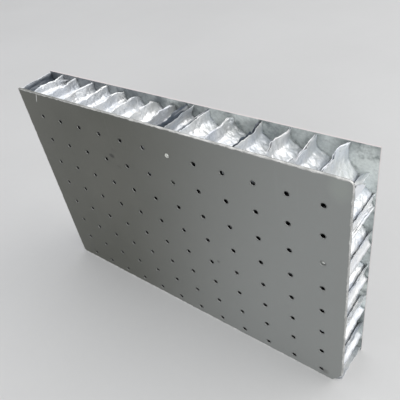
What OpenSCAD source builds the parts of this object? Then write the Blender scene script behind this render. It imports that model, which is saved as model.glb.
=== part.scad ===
// Aluminium honeycomb panel with a perforated front, a sawn sample that stands on its long edge.
// Two sheet skins are bonded by adhesive films to a core of folded foil ribbons.
// X runs along the length, Y through the thickness and Z upwards. The perforated skin faces -Y.
// The origin is at the middle of the lower edge.

/* [Panel] */
// Length along the lower edge
panel_l = 203; // [150:1:240]
// Height from the lower edge to the upper edge
panel_h = 132; // [90:1:180]
// Thickness over both skins
panel_t = 25; // [12:0.5:50]

/* [Skins and films] */
// Sheet thickness of the perforated front skin
front_skin_t = 1; // [0.5:0.1:2]
// Sheet thickness of the plain back skin
back_skin_t = 0.8; // [0.5:0.1:2]
// Thickness of the adhesive film on each side of the core
film_t = 0.2; // [0.1:0.05:0.6]
// Radius of the worn upper right corner of the front skin
worn_corner_r = 2.5; // [0.5:0.1:5]
// Width of the piece snipped off the front skin's lower right corner
snip_w = 5.5; // [1:0.5:8]
// Height of the piece snipped off that corner
snip_h = 8.5; // [1:0.5:12]
// Legs of the small nick in the front skin's lower left corner
nick = 2; // [0.5:0.5:4]

/* [Perforation] */
// Diameter of each hole
hole_d = 2.5; // [1:0.1:5]
// Spacing of the holes both ways
hole_pitch = 16; // [10:0.5:30]
// Distance from the left edge to the first column of holes
left_margin = 15.5; // [6:0.5:20]
// Distance from the upper edge to the first row of holes
top_margin = 15; // [6:0.5:20]
// Least distance from a hole's centre to the right and lower edges
edge_margin = 4; // [3:0.5:10]
// How far the front film stands back from the rim of each hole
film_setback = 0.3; // [0.1:0.1:1]

/* [Core] */
// Cell size across the flats before the core is stretched to fit between the saw cuts
cell = 12.7; // [10:0.1:20]
// Thickness of the foil
foil_t = 0.1; // [0.05:0.01:0.3]
// Thickness of the glue line between the two foils of a double wall
glue_line = 0.01; // [0.01:0.01:0.05]
// Length that each fold takes off the flats beside it
fold = 0.8; // [0.4:0.1:1.5]
// Angle between the ribbons and the sawn ends
core_tilt = 1.5; // [0.5:0.1:4]
// Angle between the rows of cells and the upper edge
row_tilt = 0.4; // [0:0.1:0.5]
// Distance of the first double wall from the left end, along the upper edge
left_wall = 0.2; // [0.2:0.05:1]
// Distance of the last double wall from the right end, along the upper edge
right_wall = 0.7; // [0.7:0.1:1.5]
// Depth of the first wall's foot below the upper edge
first_foot = 5; // [1:0.1:5.5]
// Largest stray of a wall's ends from an even honeycomb
stray = 0.5; // [0:0.1:1]

/* [Damage to the core] */
// Shift to the left at the middle of the crushed spot on the upper edge
crush_shift = 5.5; // [0:0.5:6]
// Distance of the crushed spot from the left end
crush_x = 127; // [40:1:140]
// Reach of the crushed spot around its middle
crush_reach = 24; // [20:1:40]
// Depth to which the last cell's floor is pushed down at the right end
dent_depth = 6; // [0:0.5:8]
// Distance of the dent's middle from the right end
dent_x = 3; // [1:0.5:8]
// Depth of the dent's middle below the upper edge
dent_z = 9; // [6:0.5:16]
// Reach of the dent around its middle
dent_reach = 9; // [8:0.5:16]
// How far the tear in the last wall reaches in from the right end
tear_w = 3; // [2.5:0.5:5]
// Depth of the tear below the upper edge beside the front film
tear_front = 1.5; // [0.5:0.5:10]
// Depth of the tear below the upper edge beside the back film
tear_back = 18; // [12:0.5:30]

/* [Hidden] */
// Double walls on the upper edge whose bond has let go: number after the first, and gap at the top
PARTED_WALLS = [[9, 5.5], [10, 0.8], [12, 1]];
// Holes that stay closed by film: column from the left, and row from the top, both from zero
CLOSED_HOLES = [[6, 0], [6, 1], [11, 2]];
// Degrees of phase that each line of nodes, each row and a wall's head add to a wall's stray
SIDEWAYS_PHASE = [137, 71, 50];
LENGTHWAYS_PHASE = [59, -113, 80];
// Straight steps in the worn corner's arc
CORNER_STEPS = 8;
// Overlap of a cutting tool past each face
CUT = 1;
$fn = 48;

left = -panel_l / 2;
right = panel_l / 2;
front = -panel_t / 2;
back = panel_t / 2;
core_front = front + front_skin_t + film_t;
core_back = back - back_skin_t - film_t;

hole_columns = 1 + floor((panel_l - left_margin - edge_margin) / hole_pitch);
hole_rows = 1 + floor((panel_h - top_margin - edge_margin) / hole_pitch);

// Lines of nodes stand half a cell apart, and a ribbon runs up between each line and the next.
// The walls that the upper saw cut meets are on the even lines, so the last line is even too.
last_line = 2 * round(panel_l / cell);
half_cell = (panel_l - left_wall - right_wall) / last_line;
// Two rows take up a cell and its walls, and whole pairs of rows lie between the upper and lower saw cuts.
row_pairs = round(panel_h / (sqrt(3) * cell));
row_rise = panel_h / (2 * row_pairs);
// A double wall is as long as a cell's side, and the next row starts half a side above its head.
side = row_rise / 1.5;
lowest_row = -2 * row_pairs - 1;
highest_row = 1;

// The saw leaves only strips of the first and last ribbons. The last but one is torn at its top.
function ribbon_name(line) =
    line == 0 ? "left_end_foil"
    : line == last_line - 1 ? "right_torn_foil"
    : line == last_line ? "right_end_foil"
    : str("foil_ribbon_", line < 10 ? "0" : "", line);

function unit(v) = v / norm(v);

// Unit vector to the left of the way from a to b
function left_of(a, b) =
    let (way = unit(b - a))
    [-way[1], way[0]];

function arc(centre, radius, from, to, steps) =
    [for (i = [0 : steps])
        let (angle = from + (to - from) * i / steps)
        centre + radius * [cos(angle), sin(angle)]];

// Falls from 1 at the centre towards 0 past the reach
function bump(point, centre, reach) = exp(-pow(norm(point - centre) / reach, 2));

// End of a double wall in the panel's X and Z. A wall's foot is end 0 and its head is end 1.
function wall_end(line, row, end) =
    let (
        across = line * half_cell + stray * sin(SIDEWAYS_PHASE * [line, row, end]),
        along = row * row_rise + end * side + stray * sin(LENGTHWAYS_PHASE * [line, row, end]),
        even = [
            left + left_wall + across * cos(row_tilt) + along * sin(core_tilt),
            panel_h - first_foot - across * sin(row_tilt) + along * cos(core_tilt)
        ]
    )
    even
        - [crush_shift * bump(even, [left + crush_x, panel_h], crush_reach), 0]
        - [0, dent_depth * bump(even, [right - dent_x, panel_h - dent_z], dent_reach)];

// Gap between the two foils at one end of a double wall, which is the glue line where the bond holds
function foil_gap(line, row, end) =
    row == 0 && end == 1
        ? max(concat(glue_line, [for (wall = PARTED_WALLS) if (line == 2 * wall[0]) wall[1]]))
        : glue_line;

// One end of a ribbon's own foil in a double wall. Side is 1 right of the bond and -1 left of it.
function foil_end(line, row, end, side_of_bond) =
    let (to_left = left_of(wall_end(line, row, 0), wall_end(line, row, 1)))
    wall_end(line, row, end)
        - side_of_bond * (foil_t + foil_gap(line, row, end)) / 2 * to_left;

// Middle line of the ribbon right of a line of nodes, with sharp folds, past the lower and upper edges
function sharp_path(line) =
    [for (row = [lowest_row : highest_row])
        let (on_left = (line + row) % 2 == 0)
        for (end = [0, 1])
            foil_end(on_left ? line : line + 1, row, end, on_left ? 1 : -1)];

// The same line with each sharp fold turned into two half folds
function folded_path(path) =
    let (last = len(path) - 1)
    concat(
        [path[0]],
        [for (i = [1 : last - 1]) for (next = [path[i - 1], path[i + 1]])
            path[i] + fold * unit(next - path[i])],
        [path[last]]
    );

// Step from a point of the line to the foil's left face, one unit away, mitred at the folds
function mitre(path, i) =
    let (
        last = len(path) - 1,
        before = left_of(path[max(i - 1, 0)], path[max(i, 1)]),
        after = left_of(path[min(i, last - 1)], path[min(i + 1, last)])
    )
    (before + after) / (1 + before * after);

// Outline of an even band along a line
function band(path, width) =
    concat(
        [for (i = [0 : len(path) - 1]) path[i] + width / 2 * mitre(path, i)],
        [for (i = [len(path) - 1 : -1 : 0]) path[i] - width / 2 * mitre(path, i)]
    );

// Stands a drawing up in the panel's plane and gives it a thickness from y towards the back
module upright(y, thickness) {
    translate([0, y + thickness, 0])
        rotate([90, 0, 0])
            linear_extrude(thickness)
                children();
}

module whole_face() {
    translate([left, 0])
        square([panel_l, panel_h]);
}

// Outline of the perforated face with its snipped, nicked and worn corners
module front_face() {
    worn_centre = [right - worn_corner_r, panel_h - worn_corner_r];
    polygon(concat(
        [[left, nick], [left + nick, 0], [right - snip_w, 0], [right, snip_h]],
        arc(worn_centre, worn_corner_r, 0, 90, CORNER_STEPS),
        [[left, panel_h]]
    ));
}

module hole(column, row, diameter, y, depth) {
    translate([left + left_margin + column * hole_pitch, y - CUT, panel_h - top_margin - row * hole_pitch])
        rotate([-90, 0, 0])
            cylinder(d = diameter, h = depth + 2 * CUT);
}

module front_skin() {
    color([0.47, 0.47, 0.45])
        difference() {
            upright(front, front_skin_t)
                front_face();
            for (column = [0 : hole_columns - 1], row = [0 : hole_rows - 1])
                hole(column, row, hole_d, front, front_skin_t);
        }
}

module front_film() {
    film_front = front + front_skin_t;
    color([0.74, 0.75, 0.71])
        difference() {
            upright(film_front, film_t)
                front_face();
            for (column = [0 : hole_columns - 1], row = [0 : hole_rows - 1])
                if (len([for (closed = CLOSED_HOLES) if (closed == [column, row]) closed]) == 0)
                    hole(column, row, hole_d + 2 * film_setback, film_front, film_t);
        }
}

module back_film() {
    color([0.62, 0.65, 0.62])
        upright(core_back, film_t)
            whole_face();
}

module back_skin() {
    color([0.66, 0.67, 0.67])
        upright(back - back_skin_t, back_skin_t)
            whole_face();
}

// Space above the torn rim of the last double wall, which slopes down from the front film to the back film
module torn_away() {
    translate([right - tear_w, 0, 0])
        rotate([90, 0, 90])
            linear_extrude(tear_w + CUT)
                polygon([
                    [core_front - CUT, panel_h - tear_front],
                    [core_front, panel_h - tear_front],
                    [core_back, panel_h - tear_back],
                    [core_back + CUT, panel_h - tear_back],
                    [core_back + CUT, panel_h + CUT],
                    [core_front - CUT, panel_h + CUT]
                ]);
}

module foil_ribbon(line) {
    color([0.88, 0.89, 0.9])
        difference() {
            upright(core_front, core_back - core_front)
                intersection() {
                    polygon(band(folded_path(sharp_path(line)), foil_t));
                    whole_face();
                }
            if (line >= last_line - 1)
                torn_away();
        }
}

front_skin();
front_film();
back_film();
back_skin();
for (line = [0 : last_line])
    foil_ribbon(line);
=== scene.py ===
"""Looks of the aluminium honeycomb panel: painted perforated front skin, plain back skin, crumpled foil core.

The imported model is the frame. The foil ribbons are worked out again as crumpled sheets with sawn rims,
and the skins and films keep their solids. Shapes are in millimetres until a mesh is written in metres.
Materials, lamps and the camera are in metres.
"""
import math

import bpy
import numpy as np
from mathutils import Matrix, Vector


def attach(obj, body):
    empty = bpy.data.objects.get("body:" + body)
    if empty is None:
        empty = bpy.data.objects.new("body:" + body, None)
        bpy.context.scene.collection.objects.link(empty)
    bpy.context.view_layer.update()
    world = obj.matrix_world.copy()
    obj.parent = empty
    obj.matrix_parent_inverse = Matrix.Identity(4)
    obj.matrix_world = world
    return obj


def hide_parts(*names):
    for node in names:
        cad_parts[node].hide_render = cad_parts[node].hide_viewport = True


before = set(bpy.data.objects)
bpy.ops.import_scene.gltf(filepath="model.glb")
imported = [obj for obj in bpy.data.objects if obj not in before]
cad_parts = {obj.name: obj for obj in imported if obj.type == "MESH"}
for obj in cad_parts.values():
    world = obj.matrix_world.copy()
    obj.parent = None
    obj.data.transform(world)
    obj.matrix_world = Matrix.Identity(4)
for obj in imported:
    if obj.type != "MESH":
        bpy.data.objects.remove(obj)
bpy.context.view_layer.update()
scene = bpy.context.scene
scene.view_settings.view_transform = "Standard"

MM = 0.001

# Panel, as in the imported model
PANEL_L, PANEL_H, PANEL_T = 203.0, 132.0, 25.0
LEFT, RIGHT = -PANEL_L / 2, PANEL_L / 2
FACE, CORE_FRONT, CORE_BACK = -PANEL_T / 2, -11.3, 11.5
FOIL_T, GLUE = 0.1, 0.01

# Holes of the front skin: a square grid from the upper left hole
HOLE_PITCH, HOLE_X, HOLE_Z = 16.0, -86.0, 117.0
HOLE_COLUMNS, HOLE_ROWS = 12, 8

# Honeycomb of the core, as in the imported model
CELL, TILT, ROW_TILT = 12.7, math.radians(1.5), math.radians(0.4)
LEFT_WALL, RIGHT_WALL, FIRST_FOOT = 0.2, 0.7, 5.0
LAST_LINE = 2 * round(PANEL_L / CELL)
HALF_CELL = (PANEL_L - LEFT_WALL - RIGHT_WALL) / LAST_LINE
ROW_PAIRS = round(PANEL_H / (math.sqrt(3) * CELL))
ROW_RISE = PANEL_H / (2 * ROW_PAIRS)
SIDE = ROW_RISE / 1.5
ROWS = np.arange(-2 * ROW_PAIRS - 1, 2)
# Stray of a wall's ends, and its turns in degrees for each line, row and end
STRAY, TURNS_ACROSS, TURNS_ALONG = 0.5, (137, 71, 50), (59, -113, 80)
# Length of a fold on each side of its corner, and the points along it
FOLD, FOLD_POINTS = 2.0, 7
CRUSH_SHIFT, CRUSH_X, CRUSH_REACH = 5.5, 127.0, 24.0
DENT_DEPTH, DENT_X, DENT_Z, DENT_REACH = 6.0, 3.0, 9.0, 9.0
TEAR_W, TEAR_FRONT, TEAR_BACK = 3.0, 1.5, 18.0
# Gap at the top of each double wall whose bond has let go, by its line
PARTED = {18: 5.5, 20: 0.8, 24: 1.0}

# Notches in the upper rim of a double wall: line, place through the thickness, half width and depth
NOTCHES = [(2, 5.0, 1.0, 0.8), (10, 10.5, 2.5, 1.6), (12, 11.5, 3.0, 2.6), (14, 11.5, 3.5, 3.4),
           (14, -3.0, 0.6, 2.0), (16, 11.5, 3.2, 2.4), (22, 11.5, 2.4, 1.6), (24, 3.0, 0.7, 1.2),
           (28, -6.0, 1.4, 1.8)]
# Upper corner of one foil bent over to the right: ribbon, place through the thickness, half width,
# reach and depth, and how far it drops for each step to the right
DOG_EARS = [(2, 11.5, 4.5, 5.0, 2.6)]
DOG_EAR_DROP = 0.45

# Grid of a foil sheet: columns through the thickness, and steps along the ribbon in the band below the upper
# cut, in the band above the lower cut, and between the bands, with a step of its own at the right end
COLUMNS = 25
FINE_BAND, FINE_STEP, FEWEST_FINE = 30.0, 0.55, 4
SAWN_BAND, SAWN_STEP = 14.0, 1.1
EVEN_STEP, END_STEP, END_RIBBONS = 1.7, 0.8, 4
# Points at which a ribbon is tested against the saw cuts and the tear, and the shortest pieces that are kept
RUN_POINTS, TEAR_POINTS = 6000, 1500
SHORTEST_RUN, SHORTEST_STUB = 1.5, 1.0

# Crumple: depth far from the cuts, more at the upper and right cut, how fast that fades from the upper cut,
# and how much faster from the right one; then its share on bonded and on free walls
CRUMPLE, CRUMPLE_AT_CUT, CRUMPLE_FADE, RIGHT_FADE = 0.12, 0.62, 9.0, 1.5
BONDED_BULGE, FREE_WAVE = 1.2, 1.6
CRUMPLE_SEED, CRUMPLE_WAVES = 300, [(6, 11), (9, 7), (14, 20), (4, 5)]
WAVE_STRETCH = (0.7, 1.3)
# Lean that all ribbons share: most at the upper cut, with the room that it needs to both ends
LEAN, LEAN_FADE, LEAN_ROOM = 1.2, 9.0, 8.0
LEAN_SEED, LEAN_WAVES = 77, [(31, 26), (19, 17), (47, 13)]
# Rims: least depth below the cut, random depth at the top and at the bottom, slow wave at the top, and curl
RIM_SEED, RIM_LEAST, RIM_TOP, RIM_LOW = 900, 0.05, 0.35, 0.3
RIM_SLOW, RIM_SLOW_SEED, RIM_SLOW_WAVES = 0.2, 40, [(9, 30), (5, 30)]
CURL, CURL_FADE = 0.2, 0.5

# Dark marks on the foil: partly old glue and partly painted shade on parted walls, with its depth; painted
# shade behind the front film, with its width, start, least and amount; and a painted reflection on the left
# end wall, with its clear rim, the depth of the dark band and its share below it
PARTED_GLUE_AND_SHADE = 9.0
FRONT_SHADE_W, FRONT_SHADE_START, FRONT_SHADE_LEAST, FRONT_SHADE_AMOUNT = 0.7, 8.0, 0.25, 0.85
LEFT_CLEAR_RIM, LEFT_DARK_DEPTH, LEFT_DARK_SHARE = 1.4, 14.0, 0.4


# Shapes

def put_mesh(name, grids, material, masks=None):
    """One mesh object from a list of point grids (rows, columns, 3), each joined as quads row by row.

    A list of mask grids, one value a point, becomes the attribute that the material reads.
    """
    points, faces, start = [], [], 0
    for grid in grids:
        rows, columns = grid.shape[:2]
        index = start + np.arange(rows * columns).reshape(rows, columns)
        quads = np.stack([index[:-1, :-1], index[:-1, 1:], index[1:, 1:], index[1:, :-1]], axis=-1)
        points.append(grid.reshape(-1, 3))
        faces.append(quads.reshape(-1, 4))
        start += rows * columns
    points = np.concatenate(points) * MM
    faces = np.concatenate(faces)
    mesh = bpy.data.meshes.new(name)
    mesh.from_pydata(points.tolist(), [], faces.tolist())
    mesh.polygons.foreach_set("use_smooth", np.full(len(faces), True))
    if masks:
        layer = mesh.attributes.new("glue_shade_and_reflection", "FLOAT", "POINT")
        layer.data.foreach_set("value", np.concatenate([m.ravel() for m in masks]).astype(np.float32))
    mesh.materials.append(material)
    mesh.update()
    piece = bpy.data.objects.new(name, mesh)
    scene.collection.objects.link(piece)
    return piece


def stray(turns, line, row, end):
    """Small shift of a wall's end: one sine of its line, row and end, each with its own turn."""
    return STRAY * np.sin(np.radians(turns[0] * line + turns[1] * row + turns[2] * end))


def wall_end(line, row, end):
    """Foot (0) or head (1) of a double wall in X and Z.

    An even honeycomb of lines and rows is tilted, strayed by one sine each way, shifted left by a bell at the
    crushed spot and pushed down by a bell at the right end.
    """
    across = line * HALF_CELL + stray(TURNS_ACROSS, line, row, end)
    along = row * ROW_RISE + end * SIDE + stray(TURNS_ALONG, line, row, end)
    x = LEFT + LEFT_WALL + across * math.cos(ROW_TILT) + along * math.sin(TILT)
    z = PANEL_H - FIRST_FOOT - across * math.sin(ROW_TILT) + along * math.cos(TILT)
    crush = np.exp(-((x - LEFT - CRUSH_X) ** 2 + (z - PANEL_H) ** 2) / CRUSH_REACH ** 2)
    dent = np.exp(-((x - RIGHT + DENT_X) ** 2 + (z - PANEL_H + DENT_Z) ** 2) / DENT_REACH ** 2)
    return np.stack([x - CRUSH_SHIFT * crush, z - DENT_DEPTH * dent], axis=-1)


def unit(v):
    """Vectors along the last axis, each divided by its length."""
    return v / np.linalg.norm(v, axis=-1, keepdims=True)


def ribbon_line(line):
    """Middle line of one ribbon: its walls' ends joined up, with a parabola in place of each corner.

    Returns the points, the length along them, and the side that faces the ribbon's own cells: -1 where the
    bond is on the left, 1 where it is on the right, and sliding between them on the free walls.
    """
    on_left = (line + ROWS) % 2 == 0
    own = np.where(on_left, line, line + 1)
    bond = np.where(on_left, 1.0, -1.0)
    foot, head = wall_end(own, ROWS, 0), wall_end(own, ROWS, 1)
    way = unit(head - foot)
    to_left = np.stack([-way[:, 1], way[:, 0]], axis=-1)
    gap = np.where(ROWS == 0, np.array([PARTED.get(int(n), GLUE) for n in own]), GLUE)
    foot = foot - (bond * (FOIL_T + GLUE) / 2)[:, None] * to_left
    head = head - (bond * (FOIL_T + gap) / 2)[:, None] * to_left
    corner = np.stack([foot, head], axis=1).reshape(-1, 2)
    before = corner[1:-1] + FOLD * unit(corner[:-2] - corner[1:-1])
    after = corner[1:-1] + FOLD * unit(corner[2:] - corner[1:-1])
    u = np.linspace(0, 1, FOLD_POINTS)[None, :, None]
    curve = (1 - u) ** 2 * before[:, None] + 2 * u * (1 - u) * corner[1:-1, None] + u ** 2 * after[:, None]
    points = curve.reshape(-1, 2)
    facing = np.repeat(np.repeat(-bond, 2)[1:-1], FOLD_POINTS)
    length = np.concatenate([[0], np.cumsum(np.linalg.norm(np.diff(points, axis=0), axis=1))])
    return points, length, facing


def ripple(a, b, seed, waves, creased=0.0):
    """Random field from -1 to 1: a mean of sines of a and b with seeded directions and phases.

    The share creased of each sine is a triangle wave, whose straight flanks meet in creases.
    """
    rng = np.random.default_rng(seed)
    total = 0.0
    for long_a, long_b in waves:
        rate_a = 2 * math.pi / long_a * rng.uniform(*WAVE_STRETCH)
        rate_b = 2 * math.pi / long_b * rng.uniform(*WAVE_STRETCH)
        way = rng.choice([-1, 1])
        wave = np.sin(rate_a * a + way * rate_b * b + rng.uniform(0, 2 * math.pi))
        total = total + (1 - creased) * wave + creased * np.arcsin(wave) * 2 / math.pi
    return total / len(waves)


def stations(low, high, fine_from, step):
    """Places along a ribbon: close at the sawn lower rim and above fine_from, and a step apart between."""
    first = np.arange(low, min(low + SAWN_BAND, high), SAWN_STEP)
    middle = np.arange(first[-1] + step, max(fine_from, first[-1] + step), step)
    fine_start = max(fine_from, middle[-1] + FINE_STEP if len(middle) else low)
    last = np.linspace(fine_start, high, max(FEWEST_FINE, int((high - fine_from) / FINE_STEP)))
    return np.unique(np.concatenate([first, middle, last]).clip(low, high))


def torn_rim(line, low, high, depth):
    """Length along a ribbon at which the tear starts: near the right end and above the torn rim.

    The rim slopes down from the front film to the back film. Away from the right end nothing is torn.
    """
    points, length, _ = ribbon_line(line)
    fine = np.linspace(low, high, TEAR_POINTS)
    x, z = np.interp(fine, length, points[:, 0]), np.interp(fine, length, points[:, 1])
    rim = PANEL_H - np.interp(depth, [CORE_FRONT, CORE_BACK], [TEAR_FRONT, TEAR_BACK])
    torn = (x > RIGHT - TEAR_W)[:, None] & (z[:, None] > rim[None, :])
    return np.where(torn.any(axis=0), fine[torn.argmax(axis=0)], high)


def glue_shade_and_reflection(line, side, below, y):
    """Mask from 0 to 1 of dark marks: partly old glue and partly painted shade on parted walls, painted shade
    behind the front film, and a painted reflection on the left end wall.

    Each is a bell of the distance from where the mark sits: below the upper cut or behind the front film.
    """
    # Parted walls: partly old glue, partly painted shade inside the narrow slot
    parted = PARTED.get(line + 1, 0) > 0
    glue_and_shade_mask = np.where(parted & (side > 0.5), np.exp(-(below / PARTED_GLUE_AND_SHADE) ** 4), 0.0)
    # Painted shade: the foil darkens just behind the front film
    front_shade = np.exp(-((y - CORE_FRONT) / FRONT_SHADE_W) ** 2) * np.clip(below / FRONT_SHADE_START, FRONT_SHADE_LEAST, 1)
    glue_and_shade_mask = np.maximum(glue_and_shade_mask, FRONT_SHADE_AMOUNT * front_shade)
    # Painted reflection: the left end wall darkens below a clear rim, as if it mirrored dark surroundings
    if line == 0:
        dark_mark = LEFT_DARK_SHARE + (1 - LEFT_DARK_SHARE) * np.exp(-(below / LEFT_DARK_DEPTH) ** 2)
        glue_and_shade_mask = np.maximum(glue_and_shade_mask, dark_mark * (1 - np.exp(-(below / LEFT_CLEAR_RIM) ** 2)))
    return glue_and_shade_mask


def foil_sheet(line, low, high):
    """One run of a ribbon as a grid over length and depth, with a mask of old glue, painted shade and painted
    reflection.

    Each point is the ribbon's line at its length, moved along the line's own normal by a crumple that grows
    towards the upper and the right saw cut, and leant sideways by a slow wave that all ribbons share. The
    rims are ragged: their length falls short of the cut by a random depth at each column, and the upper one
    curls in its last half millimetre.
    """
    points, length, facing = ribbon_line(line)
    rng = np.random.default_rng(RIM_SEED + line)
    depth = np.linspace(CORE_FRONT, CORE_BACK, COLUMNS)
    left_over = torn_rim(line, low, high, depth) - low > SHORTEST_STUB
    if not left_over.any():
        return None
    depth = np.linspace(CORE_FRONT, depth[left_over].max(), COLUMNS)
    torn = torn_rim(line, low, high, depth)
    step = END_STEP if line > LAST_LINE - END_RIBBONS else EVEN_STEP
    place = stations(low, high, np.interp(PANEL_H - FINE_BAND, points[:, 1], length), step)
    share = (place - low) / (high - low)

    slow = 1 + ripple(depth, depth, RIM_SLOW_SEED + line, RIM_SLOW_WAVES)
    ragged_top = RIM_LEAST + RIM_TOP * rng.random(COLUMNS) ** 3 + RIM_SLOW * slow
    for notched, middle, half, deep in NOTCHES:
        if notched == line + line % 2:
            ragged_top = ragged_top + deep * np.exp(-((depth - middle) / half) ** 2)
    ragged_low = RIM_LEAST + RIM_LOW * rng.random(COLUMNS) ** 2
    start, stop = low + ragged_low, torn - ragged_top
    s = start[None, :] + share[:, None] * (stop - start)[None, :]
    y = np.broadcast_to(depth[None, :], s.shape)
    x = np.interp(s, length, points[:, 0])
    z = np.interp(s, length, points[:, 1])
    side = np.interp(s, length, facing)
    tangent = unit(np.gradient(np.stack([x, z], axis=-1), axis=0))
    normal = np.stack([-tangent[..., 1], tangent[..., 0]], axis=-1)

    below = (PANEL_H - z).clip(0)
    from_cut = np.minimum(below, RIGHT_FADE * (RIGHT - x).clip(0))
    strength = CRUMPLE + CRUMPLE_AT_CUT * np.exp(-from_cut / CRUMPLE_FADE)
    wave = ripple(s, y, CRUMPLE_SEED + line, CRUMPLE_WAVES, creased=1.0)
    shift = strength * (side * np.abs(wave) * BONDED_BULGE + (1 - np.abs(side)) * wave * FREE_WAVE)
    shift = shift + side * CURL * np.exp(-below / CURL_FADE) * rng.random(COLUMNS)[None, :]
    x, z = x + shift * normal[..., 0], z + shift * normal[..., 1]
    for bent, middle, half, reach, deep in DOG_EARS:
        if bent == line:
            fall = reach * np.exp(-((y - middle) / half) ** 2 - (below / deep) ** 2)
            x, z = x + fall, z - DOG_EAR_DROP * fall
    lean = np.exp(-below / LEAN_FADE) * ripple(x, y, LEAN_SEED, LEAN_WAVES)
    room = np.clip(np.minimum(x - LEFT, RIGHT - x) / LEAN_ROOM, 0, 1)
    x = np.clip(x + LEAN * lean * room, LEFT + FOIL_T, RIGHT - FOIL_T)
    z = np.clip(z, FOIL_T, PANEL_H - FOIL_T)
    return np.stack([x, y, z], axis=-1), glue_shade_and_reflection(line, side, below, y)


def foil_runs(line):
    """Lengths along a ribbon between which it lies inside the panel: the saw cuts bound it in X and Z."""
    points, length, _ = ribbon_line(line)
    fine = np.linspace(length[0], length[-1], RUN_POINTS)
    x, z = np.interp(fine, length, points[:, 0]), np.interp(fine, length, points[:, 1])
    inside = (x > LEFT + FOIL_T / 2) & (x < RIGHT - FOIL_T / 2) & (z > 0) & (z < PANEL_H)
    edge = np.flatnonzero(np.diff(np.concatenate([[0], inside.astype(int), [0]])))
    runs = [(fine[a], fine[b - 1]) for a, b in zip(edge[::2], edge[1::2])]
    return [(low, high) for low, high in runs if high - low > SHORTEST_RUN]


# Colours and marks

def srgb(r, g, b):
    """Colour written as 0 to 255 in the picture's own scale, turned into linear light."""
    c = np.array([r, g, b]) / 255
    c = np.where(c <= 0.04045, c / 12.92, ((c + 0.055) / 1.055) ** 2.4)
    return (*c.tolist(), 1.0)


PAINT_DARK, PAINT_LIGHT, PAINT_PAINTED_LIGHT = srgb(75, 76, 69), srgb(85, 85, 78), srgb(134, 136, 134)
# The second colour is painted shade around the holes
FINE_SCRATCH, HOLE_RING_SHADE = srgb(150, 151, 150), srgb(30, 30, 28)
# The third colour is the darker tone of the sawn faces towards the left
CUT_DARK, CUT_LIGHT, CUT_LEFT_TONE = srgb(178, 179, 177), srgb(236, 236, 234), srgb(98, 98, 93)
# Painted highlight at a hole's mouth, and painted shade deeper in it
HOLE_PAINTED_GLINT, HOLE_PAINTED_SHADE = srgb(240, 240, 235), srgb(10, 10, 10)
FOIL_DULL, FOIL_BRIGHT = srgb(228, 232, 238), srgb(250, 250, 249)
# The second colour is partly old glue and partly painted shade and painted reflection
GLUE_SPECK, GLUE_AND_SHADE_TONE = srgb(120, 122, 122), srgb(86, 94, 104)
BACK_FILM_DARK, BACK_FILM_LIGHT = srgb(138, 144, 143), srgb(214, 219, 216)
BACK_FILM_SMUDGE, BACK_FILM_LEFT = srgb(78, 88, 89), srgb(94, 97, 104)
FRONT_FILM_DARK, FRONT_FILM_LIGHT = srgb(120, 122, 118), srgb(168, 170, 165)
MILL_DARK, MILL_LIGHT = srgb(168, 170, 172), srgb(196, 197, 198)
# The second colour is paler bare metal with a pink tint that is a painted reflection
MILL_LINE, MILL_CUT_AND_REFLECTION = srgb(216, 217, 218), srgb(226, 218, 218)
FLOOR_DARK, FLOOR_LIGHT = srgb(216, 215, 213), srgb(222, 221, 219)

# Stains of the paint, and one painted highlight: place, squeeze, radius, width of the rim, raggedness, amount
# and shade
STAINS_AND_CORNER_HIGHLIGHT = [
    ((-0.0325, 0, 0.1047), (0.6, 0, 0.9), 0.0008, 0.0006, 0.0012, 0.9, srgb(38, 36, 34)),
    ((-0.0300, 0, 0.1090), (1, 0, 1), 0.0006, 0.0012, 0.0014, 0.5, srgb(70, 69, 64)),
    ((-0.0290, 0, 0.0985), (0.6, 0, 1), 0.0005, 0.0008, 0.0010, 0.6, srgb(62, 60, 56)),
    ((0.0308, 0, 0.0555), (1, 0, 1), 0.0005, 0.0006, 0.0008, 0.7, srgb(60, 60, 58)),
    ((0.0921, 0, 0.0044), (1, 0, 1), 0.0012, 0.0014, 0.0012, 0.5, srgb(84, 84, 82)),
    # Not a stain: a pale greenish patch at the upper right corner, a painted highlight where the bent corner
    # catches light
    ((0.0965, 0, 0.1275), (1, 0, 0.7), 0.0020, 0.0040, 0.0020, 0.3, srgb(150, 156, 148)),
]
# The one deep scratch, at the upper left
SCRATCH = {"Place": (-0.0852, 0, 0.1295), "Squeeze": (1.0, 0, 0.10), "Radius": 0.00026, "Rim": 0.00014,
           "Ragged": 0.0002, "Lean": 0.5}
# Holes that film closes: hole, painted tone of its wall in place of the painted shade of open holes, and
# place, radius and shade of the mark on the film
CLOSED_HOLES = [
    ((0.010, 0, 0.117), srgb(214, 215, 210), (0.010, 0, 0.117), 0.0009, srgb(238, 238, 234)),
    ((0.010, 0, 0.101), srgb(58, 60, 56), (0.010, 0, 0.101), 0.0012, srgb(78, 80, 76)),
    ((0.090, 0, 0.085), srgb(120, 122, 120), (0.0903, 0, 0.0846), 0.0006, srgb(225, 226, 222)),
]
# Rings around a hole's centre, from the inner to the outer distance
# The first ring is painted shade: a dark band just outside each hole that makes it look wider
SHADE_RING, RUBBED_RING = (0.00130, 0.00175), (0.00127, 0.00140)
WALL_RING, ROUNDED_RING = (0.0014, 0.0016), (0.0012, 0.0019)
# Wall of a hole: how far below the face its painted highlight reaches, and from where its painted shade
# starts
GLINT_END, PAINTED_SHADE_START = (FACE + 0.11) * MM, (FACE + 0.26) * MM
# Painted light: the paint grows paler to the lower right, as if lit from there; share of the height in that
# slope, and where it starts and ends
PAINTED_LIGHT_LEAN, PAINTED_LIGHT_FROM, PAINTED_LIGHT_TO = 0.3, -0.07, 0.06


# Materials

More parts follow.
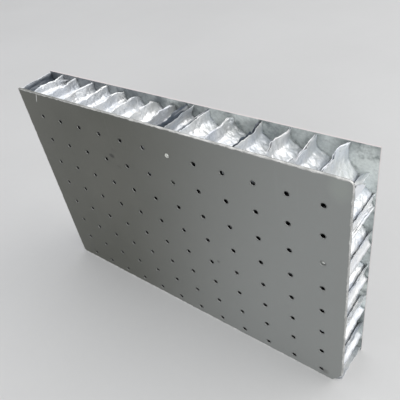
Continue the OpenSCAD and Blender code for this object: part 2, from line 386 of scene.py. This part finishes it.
class Wires:
    """Short hand for adding nodes to one tree and joining them."""

    def __init__(self, tree):
        self.tree = tree

    def node(self, kind, inputs=None, **settings):
        made = self.tree.nodes.new(kind)
        for key, value in settings.items():
            setattr(made, key, value)
        for key, value in (inputs or {}).items():
            self.join(value, made.inputs[key])
        return made

    def join(self, value, socket):
        if isinstance(value, bpy.types.NodeSocket):
            self.tree.links.new(value, socket)
        else:
            socket.default_value = value

    def math(self, operation, a, b=0.0, clamp=False):
        return self.node("ShaderNodeMath", {0: a, 1: b}, operation=operation, use_clamp=clamp).outputs[0]

    def ramp(self, value, low, high, to_low=0.0, to_high=1.0, smooth=True):
        made = self.node("ShaderNodeMapRange", {"Value": value, "From Min": low, "From Max": high,
                                                "To Min": to_low, "To Max": to_high})
        made.interpolation_type = "SMOOTHSTEP" if smooth else "LINEAR"
        return made.outputs["Result"]

    def mix(self, factor, a, b):
        made = self.node("ShaderNodeMix", data_type="RGBA")
        self.join(factor, made.inputs["Factor"])
        self.join(a, made.inputs["A"])
        self.join(b, made.inputs["B"])
        return made.outputs["Result"]

    def noise(self, vector, scale, detail=3.0, rough=0.55):
        return self.node("ShaderNodeTexNoise", {"Vector": vector, "Scale": scale, "Detail": detail,
                                                "Roughness": rough}).outputs["Fac"]

    def place(self):
        return self.node("ShaderNodeTexCoord").outputs["Object"]

    def split(self, vector):
        return self.node("ShaderNodeSeparateXYZ", {0: vector}).outputs

    def stretched(self, vector, scale):
        return self.node("ShaderNodeMapping", {"Vector": vector, "Scale": scale}).outputs["Vector"]

    def vector(self, operation, a, b):
        return self.node("ShaderNodeVectorMath", {0: a, 1: b}, operation=operation).outputs[0]

    def bump(self, height, strength, distance):
        return self.node("ShaderNodeBump", {"Strength": strength, "Distance": distance,
                                            "Height": height}).outputs["Normal"]

    def use(self, group, **inputs):
        made = self.node("ShaderNodeGroup", node_tree=group)
        for key, value in inputs.items():
            self.join(value, made.inputs[key.replace("_", " ")])
        return made.outputs

    def surface(self, **inputs):
        named = {key.replace("_", " "): value for key, value in inputs.items()}
        shader = self.node("ShaderNodeBsdfPrincipled", named)
        self.node("ShaderNodeOutputMaterial", {"Surface": shader.outputs["BSDF"]})


def material(name):
    """New empty node material, and the short hand for its tree."""
    made = bpy.data.materials.new(name)
    made.use_nodes = True
    made.node_tree.nodes.clear()
    return made, Wires(made.node_tree)


def group(name, inputs, outputs):
    """New shader node group with named sockets: its tree, what it is given, and what it puts out."""
    tree = bpy.data.node_groups.new(name, "ShaderNodeTree")
    for label, kind, value in inputs:
        socket = tree.interface.new_socket(label, in_out="INPUT", socket_type="NodeSocket" + kind)
        if value is not None:
            socket.default_value = value
    for label, kind in outputs:
        tree.interface.new_socket(label, in_out="OUTPUT", socket_type="NodeSocket" + kind)
    return tree, tree.nodes.new("NodeGroupInput").outputs, tree.nodes.new("NodeGroupOutput").inputs


def make_cloud():
    """Slow and fine tone changes: two noises of different size slide a dark colour to a light one."""
    tree, given, out = group("cloudy_tone",
                             [("Dark", "Color", None), ("Light", "Color", None), ("Size", "Float", 20.0),
                              ("Speckle size", "Float", 600.0), ("Speckle", "Float", 0.2)],
                             [("Color", "Color"), ("Value", "Float")])
    w = Wires(tree)
    place = w.place()
    slow = w.ramp(w.noise(place, given["Size"], 4.0), 0.3, 0.7)
    fine = w.ramp(w.noise(place, given["Speckle size"], 2.0), 0.25, 0.75, -1.0, 1.0, smooth=False)
    value = w.math("ADD", slow, w.math("MULTIPLY", fine, given["Speckle"]), clamp=True)
    w.join(w.mix(value, given["Dark"], given["Light"]), out["Color"])
    w.join(value, out["Value"])
    return tree


def make_drawn_lines():
    """Fine lines left by rolls or a brush: noise stretched along one way, as a mask around 0.5."""
    tree, given, out = group("drawn_lines",
                             [("Stretch", "Vector", (20.0, 900.0, 900.0)), ("Detail", "Float", 4.0)],
                             [("Value", "Float")])
    w = Wires(tree)
    drawn = w.noise(w.stretched(w.place(), given["Stretch"]), 1.0, given["Detail"])
    w.join(w.ramp(drawn, 0.25, 0.75), out["Value"])
    return tree


def make_sawn():
    """Mask of the sheet's cut faces: 1 where the surface doesn't face front or back."""
    tree, _, out = group("sawn_edge", [], [("Mask", "Float")])
    w = Wires(tree)
    facing = w.split(w.node("ShaderNodeNewGeometry").outputs["Normal"])["Y"]
    w.join(w.ramp(w.math("ABSOLUTE", facing), 0.5, 0.7, 1.0, 0.0), out["Mask"])
    return tree


def make_spot():
    """Round or long mark on the face: a soft mask around a place, leant sideways, with noise on its rim."""
    tree, given, out = group("spot",
                             [("Place", "Vector", (0.0, 0.0, 0.0)), ("Squeeze", "Vector", (1.0, 0.0, 1.0)),
                              ("Radius", "Float", 0.001), ("Rim", "Float", 0.0005),
                              ("Ragged", "Float", 0.0004), ("Lean", "Float", 0.0)],
                             [("Mask", "Float")])
    w = Wires(tree)
    place = w.place()
    away = w.split(w.vector("SUBTRACT", place, given["Place"]))
    upright = w.math("SUBTRACT", away["X"], w.math("MULTIPLY", away["Z"], given["Lean"]))
    leant = w.node("ShaderNodeCombineXYZ", {"X": upright, "Y": away["Y"], "Z": away["Z"]}).outputs[0]
    scaled = w.vector("MULTIPLY", leant, given["Squeeze"])
    distance = w.node("ShaderNodeVectorMath", {0: scaled}, operation="LENGTH").outputs["Value"]
    rough = w.math("MULTIPLY", w.math("SUBTRACT", w.noise(place, 1500.0, 3.0), 0.5), given["Ragged"])
    over = w.math("SUBTRACT", w.math("ADD", distance, rough), given["Radius"])
    over = w.math("MAXIMUM", w.math("DIVIDE", over, given["Rim"]), 0.0)
    w.join(w.math("SUBTRACT", 1.0, over, clamp=True), out["Mask"])
    return tree


def make_hole_rim():
    """Distance from the nearest hole's centre: the place less the nearest point of the grid, both ways.

    The first hole is at the upper left; steps run right and down, and stop at the last column and row.
    """
    tree, given, out = group("hole_rim", [("Pitch", "Float", 0.016), ("Place", "Vector", (0.0, 0.0, 0.0))],
                             [("Distance", "Float")])
    w = Wires(tree)
    away = w.split(w.vector("SUBTRACT", w.place(), given["Place"]))
    squares = []
    for axis, first, last in (("X", 0, HOLE_COLUMNS - 1), ("Z", 1 - HOLE_ROWS, 0)):
        steps = w.math("DIVIDE", away[axis], given["Pitch"])
        nearest = w.math("MINIMUM", w.math("MAXIMUM", w.math("ROUND", steps), first), last)
        offset = w.math("MULTIPLY", w.math("SUBTRACT", steps, nearest), given["Pitch"])
        squares.append(w.math("MULTIPLY", offset, offset))
    w.join(w.math("SQRT", w.math("ADD", *squares)), out["Distance"])
    return tree


def make_edge_wear():
    """Worn margin of a sheet: how near a point is to the outline of the panel's face, broken up by noise."""
    tree, given, out = group("edge_wear", [("Width", "Float", 0.0006), ("Broken", "Float", 0.0012)],
                             [("Mask", "Float")])
    w = Wires(tree)
    place = w.place()
    split = w.split(place)
    sides = w.math("SUBTRACT", RIGHT * MM, w.math("ABSOLUTE", split["X"]))
    ends = w.math("MINIMUM", split["Z"], w.math("SUBTRACT", PANEL_H * MM, split["Z"]))
    inside = w.math("MINIMUM", sides, ends)
    broken = w.math("MULTIPLY", w.math("SUBTRACT", w.noise(place, 420.0, 4.0, 0.65), 0.5), given["Broken"])
    over = w.math("DIVIDE", w.math("ADD", inside, broken), given["Width"])
    w.join(w.ramp(over, 0.35, 0.75, 1.0, 0.0), out["Mask"])
    return tree


CLOUD, LINES, SAWN, SPOT = make_cloud(), make_drawn_lines(), make_sawn(), make_spot()
HOLE_RIM, EDGE_WEAR = make_hole_rim(), make_edge_wear()


def make_paint():
    """Satin grey paint: mottled, paler to the lower right as painted light, with stains, a painted highlight
    at the upper right corner, scratches and a dark ring of painted shade around each hole.

    Bare metal shows at cuts, worn edges, the deep scratch and rubbed hole rims. A hole's wall has a painted
    highlight at its mouth and painted shade below it, and a painted tone of its own in the holes that film
    closes.
    """
    made, w = material("satin_grey_paint")
    place = w.place()
    split = w.split(place)
    tone = w.use(CLOUD, Dark=PAINT_DARK, Light=PAINT_LIGHT, Size=9.0, Speckle_size=1400.0, Speckle=0.18)
    # Painted light: the colour grows paler to the lower right
    painted_light_slope = w.math("SUBTRACT", split["X"], w.math("MULTIPLY", split["Z"], PAINTED_LIGHT_LEAN))
    colour = w.mix(w.ramp(painted_light_slope, PAINTED_LIGHT_FROM, PAINTED_LIGHT_TO, 0.0, 0.85), tone["Color"], PAINT_PAINTED_LIGHT)
    # Stains, and the painted highlight at the upper right corner
    for spot, squeeze, radius, rim, ragged, amount, shade in STAINS_AND_CORNER_HIGHLIGHT:
        mask = w.use(SPOT, Place=spot, Squeeze=squeeze, Radius=radius, Rim=rim, Ragged=ragged)["Mask"]
        colour = w.mix(w.math("MULTIPLY", mask, amount), colour, shade)
    fine = w.use(LINES, Stretch=(260.0, 900.0, 12.0), Detail=5.0)["Value"]
    colour = w.mix(w.ramp(fine, 0.93, 1.0, 0.0, 0.05), colour, FINE_SCRATCH)
    reach = w.use(HOLE_RIM, Pitch=HOLE_PITCH * MM, Place=(HOLE_X * MM, 0, HOLE_Z * MM))["Distance"]
    # Painted shade: a dark ring just outside each hole
    colour = w.mix(w.ramp(reach, *SHADE_RING, 0.45, 0.0), colour, HOLE_RING_SHADE)

    sawn = w.use(SAWN)["Mask"]
    worn = w.use(EDGE_WEAR, Width=0.0007, Broken=0.0016)["Mask"]
    patchy = w.ramp(w.noise(place, 700.0, 2.0), 0.5, 0.65, 0.0, 0.5)
    rubbed = w.math("MULTIPLY", w.ramp(reach, *RUBBED_RING, 1.0, 0.0), patchy)
    cut = w.math("MAXIMUM", sawn, w.use(SPOT, **SCRATCH)["Mask"])
    bare = w.math("MAXIMUM", cut, w.math("MAXIMUM", worn, rubbed), clamp=True)
    metal = w.use(CLOUD, Dark=CUT_DARK, Light=CUT_LIGHT, Size=260.0, Speckle_size=2500.0, Speckle=0.3)
    # The sawn faces grow darker towards the left
    cut_darker_left = w.math("MULTIPLY", sawn, w.ramp(split["X"], LEFT * MM, 0.03, 0.9, 0.0))
    colour = w.mix(bare, colour, w.mix(cut_darker_left, metal["Color"], CUT_LEFT_TONE))

    # Painted shade deep in each hole and a painted highlight at its mouth; closed holes get their own painted
    # tone
    deep = HOLE_PAINTED_SHADE
    for hole, shade, *_ in CLOSED_HOLES:
        closed = w.use(SPOT, Place=hole, Squeeze=(1, 0, 1), Radius=0.003, Rim=0.001, Ragged=0.0)["Mask"]
        deep = w.mix(closed, deep, shade)
    wall = w.math("MULTIPLY", sawn, w.ramp(reach, *WALL_RING, 1.0, 0.0))
    painted_glint_band = w.ramp(split["Y"], GLINT_END, PAINTED_SHADE_START, 1.0, 0.0)
    colour = w.mix(wall, colour, w.mix(painted_glint_band, deep, HOLE_PAINTED_GLINT))

    paint_rough = w.ramp(tone["Value"], 0.0, 1.0, 0.50, 0.42)
    metal_rough = w.ramp(metal["Value"], 0.0, 1.0, 0.42, 0.26)
    metallic = w.math("SUBTRACT", bare, w.math("MULTIPLY", wall, 0.9), clamp=True)
    grain = w.noise(place, 2200.0, 2.0)
    height = w.math("ADD", grain, w.math("MULTIPLY", w.noise(place, 45.0, 2.0), 3.0))
    height = w.math("ADD", height, w.ramp(reach, *ROUNDED_RING, -14.0, 0.0))
    w.surface(Base_Color=colour, Roughness=w.mix(bare, paint_rough, metal_rough), Metallic=metallic,
              Normal=w.bump(height, 0.22, 0.0003))
    return made


def make_foil():
    """Bright crinkled foil: roll lines, dull patches, dark specks of glue, and a bluish coat that is partly
    old glue and partly painted shade and painted reflection.
    """
    made, w = material("core_foil")
    place = w.place()
    tone = w.use(CLOUD, Dark=FOIL_DULL, Light=FOIL_BRIGHT, Size=90.0, Speckle_size=1500.0, Speckle=0.15)
    specks = w.ramp(w.noise(w.stretched(place, (700.0, 260.0, 500.0)), 1.0, 3.0), 0.70, 0.76, 0.0, 0.7)
    streaks = w.ramp(w.noise(w.stretched(place, (400.0, 40.0, 400.0)), 1.0, 3.0), 0.3, 0.55, 0.5, 1.0)
    # Dark marks: partly old glue, partly painted shade and painted reflection
    dark_mark = w.node("ShaderNodeAttribute", attribute_name="glue_shade_and_reflection").outputs["Fac"]
    dark_mark = w.math("MULTIPLY", dark_mark, streaks)
    colour = w.mix(specks, tone["Color"], GLUE_SPECK)
    colour = w.mix(dark_mark, colour, GLUE_AND_SHADE_TONE)
    lines = w.use(LINES, Stretch=(500.0, 1100.0, 40.0), Detail=3.0)["Value"]
    rough = w.ramp(w.math("ADD", lines, tone["Value"]), 0.0, 2.0, 0.52, 0.36)
    rough = w.math("ADD", rough, w.math("MULTIPLY", dark_mark, 0.3), clamp=True)
    crinkle = w.math("ABSOLUTE", w.math("SUBTRACT", w.noise(place, 170.0, 2.0), 0.5))
    height = w.math("ADD", w.math("MULTIPLY", lines, 0.25), w.noise(place, 420.0, 3.0))
    height = w.math("ADD", height, w.math("MULTIPLY", crinkle, 7.0))
    w.surface(Base_Color=colour, Roughness=rough, Metallic=0.72, Normal=w.bump(height, 0.35, 0.0005))
    return made


def make_back_film():
    """Grey-green adhesive seen between the cell walls: glossy, smudged in patches and darker to the left."""
    made, w = material("bond_film_back")
    place = w.place()
    tone = w.use(CLOUD, Dark=BACK_FILM_DARK, Light=BACK_FILM_LIGHT, Size=60.0, Speckle_size=900.0,
                 Speckle=0.2)
    smudge = w.ramp(w.noise(place, 90.0, 4.0, 0.6), 0.49, 0.64, 0.0, 0.75)
    colour = w.mix(smudge, tone["Color"], BACK_FILM_SMUDGE)
    to_left = w.ramp(w.split(place)["X"], LEFT * MM, 0.06, 0.8, 0.0)
    colour = w.mix(to_left, colour, BACK_FILM_LEFT)
    w.surface(Base_Color=colour, Roughness=w.ramp(tone["Value"], 0, 1, 0.32, 0.5), Metallic=0.25,
              Normal=w.bump(w.noise(place, 500.0, 3.0), 0.3, 0.0004))
    return made


def make_front_film():
    """Pale adhesive behind the front skin, with a mark of its own in each hole that it closes."""
    made, w = material("bond_film_front")
    place = w.place()
    tone = w.use(CLOUD, Dark=FRONT_FILM_DARK, Light=FRONT_FILM_LIGHT, Size=120.0, Speckle_size=1800.0,
                 Speckle=0.25)
    colour = tone["Color"]
    for _, _, spot, radius, shade in CLOSED_HOLES:
        mask = w.use(SPOT, Place=spot, Squeeze=(1, 0, 1), Radius=radius, Rim=0.0004, Ragged=0.0006)["Mask"]
        colour = w.mix(mask, colour, shade)
    w.surface(Base_Color=colour, Roughness=w.ramp(tone["Value"], 0, 1, 0.6, 0.45),
              Normal=w.bump(w.noise(place, 900.0, 3.0), 0.4, 0.0004))
    return made


def make_mill_skin():
    """Mill-finish sheet: roll lines along the length, cloudy oxide, and a paler sawn rim whose pink tint is a
    painted reflection.
    """
    made, w = material("mill_finish_sheet")
    place = w.place()
    tone = w.use(CLOUD, Dark=MILL_DARK, Light=MILL_LIGHT, Size=14.0, Speckle_size=900.0, Speckle=0.1)
    lines = w.use(LINES, Stretch=(9.0, 900.0, 1500.0), Detail=4.0)["Value"]
    colour = w.mix(w.ramp(lines, 0.0, 1.0, 0.0, 0.3), tone["Color"], MILL_LINE)
    # The sawn rim is paler bare metal, and its pink tint is a painted reflection
    colour = w.mix(w.use(SAWN)["Mask"], colour, MILL_CUT_AND_REFLECTION)
    smudge = w.ramp(w.noise(place, 30.0, 4.0), 0.5, 0.75)
    rough = w.ramp(w.math("ADD", w.math("MULTIPLY", lines, 0.5), smudge), 0.0, 1.5, 0.34, 0.50)
    w.surface(Base_Color=colour, Roughness=rough, Metallic=0.9, Normal=w.bump(lines, 0.08, 0.0002))
    return made


def make_floor():
    """Plain pale floor with a faint cloudiness."""
    made, w = material("pale_floor")
    tone = w.use(CLOUD, Dark=FLOOR_DARK, Light=FLOOR_LIGHT, Size=3.0, Speckle_size=200.0, Speckle=0.1)
    w.surface(Base_Color=tone["Color"], Roughness=w.ramp(tone["Value"], 0, 1, 0.7, 0.8))
    return made


# Pieces

def finish_solid(node, finish):
    """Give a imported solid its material."""
    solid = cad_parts[node]
    solid.data.materials.clear()
    solid.data.materials.append(finish)


def ribbon_node(line):
    """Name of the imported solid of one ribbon."""
    ends = {0: "left_end_foil", LAST_LINE - 1: "right_torn_foil", LAST_LINE: "right_end_foil"}
    return ends.get(line, f"foil_ribbon_{line:02d}")


finish_solid("front_skin", make_paint())
finish_solid("front_film", make_front_film())
finish_solid("back_film", make_back_film())
finish_solid("back_skin", make_mill_skin())

foil = make_foil()
for line in range(LAST_LINE + 1):
    node = ribbon_node(line)
    finish_solid(node, foil)
    runs = [made for made in (foil_sheet(line, low, high) for low, high in foil_runs(line)) if made]
    sheet = put_mesh(node + "_crumpled", [grid for grid, _ in runs], foil, [glue_and_shade_mask for _, glue_and_shade_mask in runs])
    thick = sheet.modifiers.new("foil_thickness", "SOLIDIFY")
    thick.thickness, thick.offset = FOIL_T * MM, 0.0
    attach(sheet, "root")
    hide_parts(node)


# Stage

def floor_grid(reach=12000.0, points=24):
    """Flat square floor around the panel's foot, as an even grid of points a side."""
    a = np.linspace(-reach, reach, points)
    x, y = np.meshgrid(a, a)
    return np.stack([x, y, np.zeros_like(x)], axis=-1)


def area_light(name, place, target, size, watts, colour):
    """Square lamp at a place, turned to its target."""
    lamp = bpy.data.lights.new(name, "AREA")
    lamp.shape, lamp.size, lamp.energy, lamp.color = "SQUARE", size, watts, colour
    holder = bpy.data.objects.new(name, lamp)
    scene.collection.objects.link(holder)
    holder.location = place
    holder.rotation_euler = (Vector(target) - Vector(place)).to_track_quat("-Z", "Y").to_euler()


floor = put_mesh("floor", [floor_grid()], make_floor())

area_light("key_light", place=(0.95, 0.5, 1.2), target=(0, 0, 0.07), size=1.3, watts=7.5,
           colour=(1.0, 0.99, 0.97))
area_light("fill_light", place=(0.85, -0.95, 0.45), target=(0.05, 0, 0.05), size=0.8, watts=6.0,
           colour=(0.95, 0.98, 1.0))

# The world lights the panel softly, and is a white backdrop where it is seen or mirrored
world = bpy.data.worlds.new("studio")
scene.world = world
world.use_nodes = True
world.node_tree.nodes.clear()
w = Wires(world.node_tree)
ray = w.node("ShaderNodeLightPath").outputs
seen = w.math("MAXIMUM", ray["Is Camera Ray"], ray["Is Glossy Ray"])
seen = w.math("MAXIMUM", seen, ray["Is Transmission Ray"])
light = w.node("ShaderNodeBackground", {"Color": (0.94, 0.96, 1.0, 1.0), "Strength": 0.72})
backdrop = w.node("ShaderNodeBackground", {"Color": (1.0, 1.0, 1.0, 1.0), "Strength": 1.0})
both = w.node("ShaderNodeMixShader", {0: seen, 1: light.outputs[0], 2: backdrop.outputs[0]})
w.node("ShaderNodeOutputWorld", {"Surface": both.outputs[0]})

# The camera stands at the photograph's angle: its place, and the ways that are right, up and ahead for it
camera = bpy.data.cameras.new("camera")
camera.sensor_width, camera.lens = 36.0, 43.6
camera.clip_start = 0.01
viewer = bpy.data.objects.new("camera", camera)
scene.collection.objects.link(viewer)
stand = (0.1537, -0.1437, 0.2403)
right = Vector((0.7853, 0.6011, -0.1483))
up = Vector((-0.2888, 0.5676, 0.7710))
ahead = Vector((-0.5476, 0.5626, -0.6193))
turn = Matrix((right, up, -ahead)).transposed()
viewer.matrix_world = Matrix.Translation(stand) @ turn.to_4x4()
scene.camera = viewer
